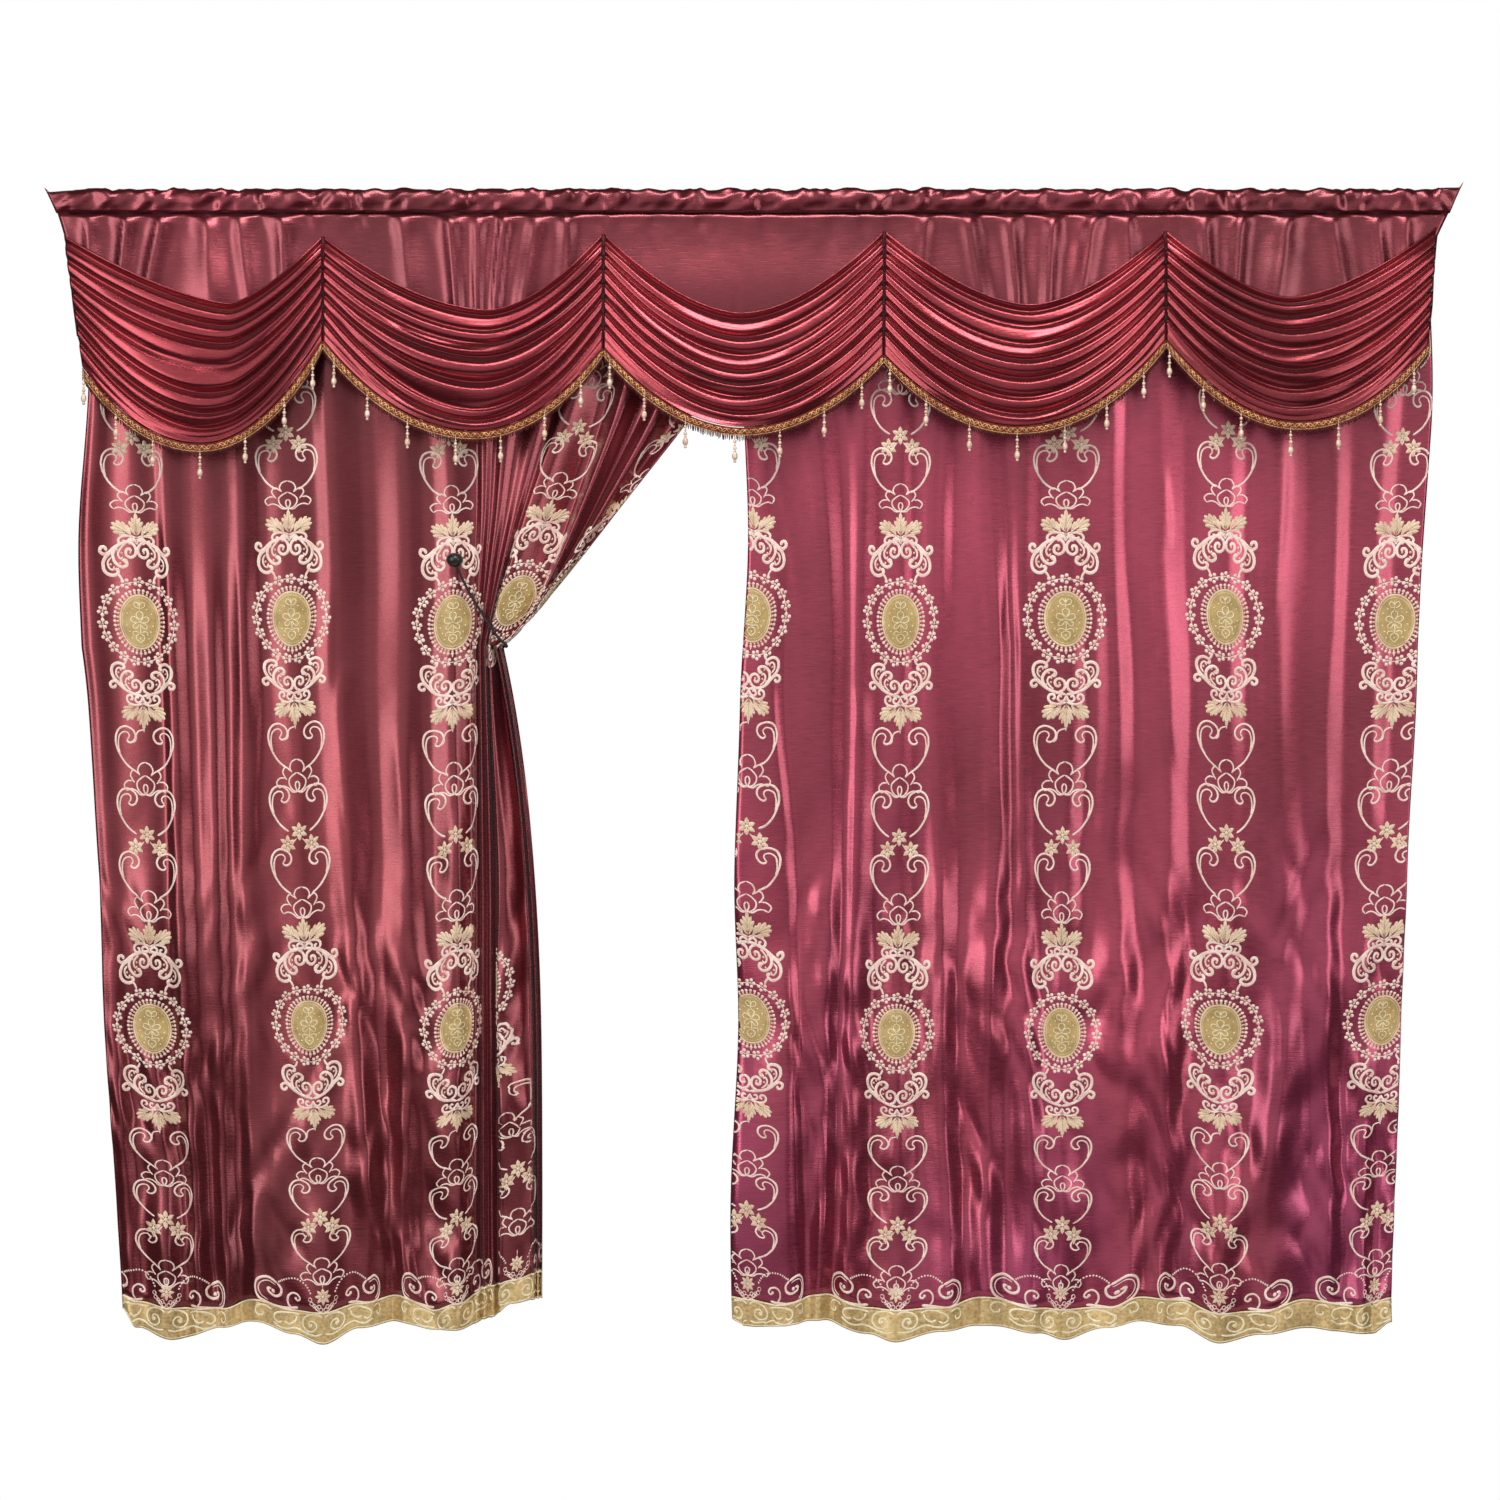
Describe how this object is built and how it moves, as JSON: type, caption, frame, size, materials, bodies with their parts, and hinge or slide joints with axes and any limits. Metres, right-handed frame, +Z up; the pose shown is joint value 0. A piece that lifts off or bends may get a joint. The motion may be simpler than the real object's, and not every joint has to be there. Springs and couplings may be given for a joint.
{
  "type": "pair of curtains with a swag valance",
  "caption": "Pair of embroidered satin curtains under a swagged, fringed valance on a gathered rod pocket, one curtain drawn aside by a cord tie.",
  "frame": {"origin": "middle of the heading's top edge, where the curtain rod holds the part", "axes": "+X along the rod to the viewer's right, -Y out of the front towards the viewer, +Z up"},
  "size_m": [2.836, 0.1193, 2.3218],
  "materials": {
    "valance_satin": "satin weave",
    "swag_satin": "satin weave",
    "panel_satin": "satin weave with raised cream embroidery",
    "border_gold": "gold satin weave with raised scrolls",
    "trim_braid": "looped metallic braid, brush fringe and pearl bead drops",
    "tie_dark": "satin",
    "tie_cord": "twisted cord"
  },
  "bodies": {
    "root": {"heading_pocket": "valance_satin", "valance_base": "valance_satin", "swag_1": "swag_satin", "swag_2": "swag_satin", "swag_3": "swag_satin", "swag_4": "swag_satin", "swag_5": "swag_satin", "trim_1": "trim_braid", "trim_2": "trim_braid", "trim_3": "trim_braid", "trim_4": "trim_braid", "trim_5": "trim_braid", "left_panel": "panel_satin", "right_panel": "panel_satin", "left_border": "border_gold", "right_border": "border_gold", "tieback_knob": "tie_dark", "tieback_cord": "tie_cord"}
  },
  "joints": []
}
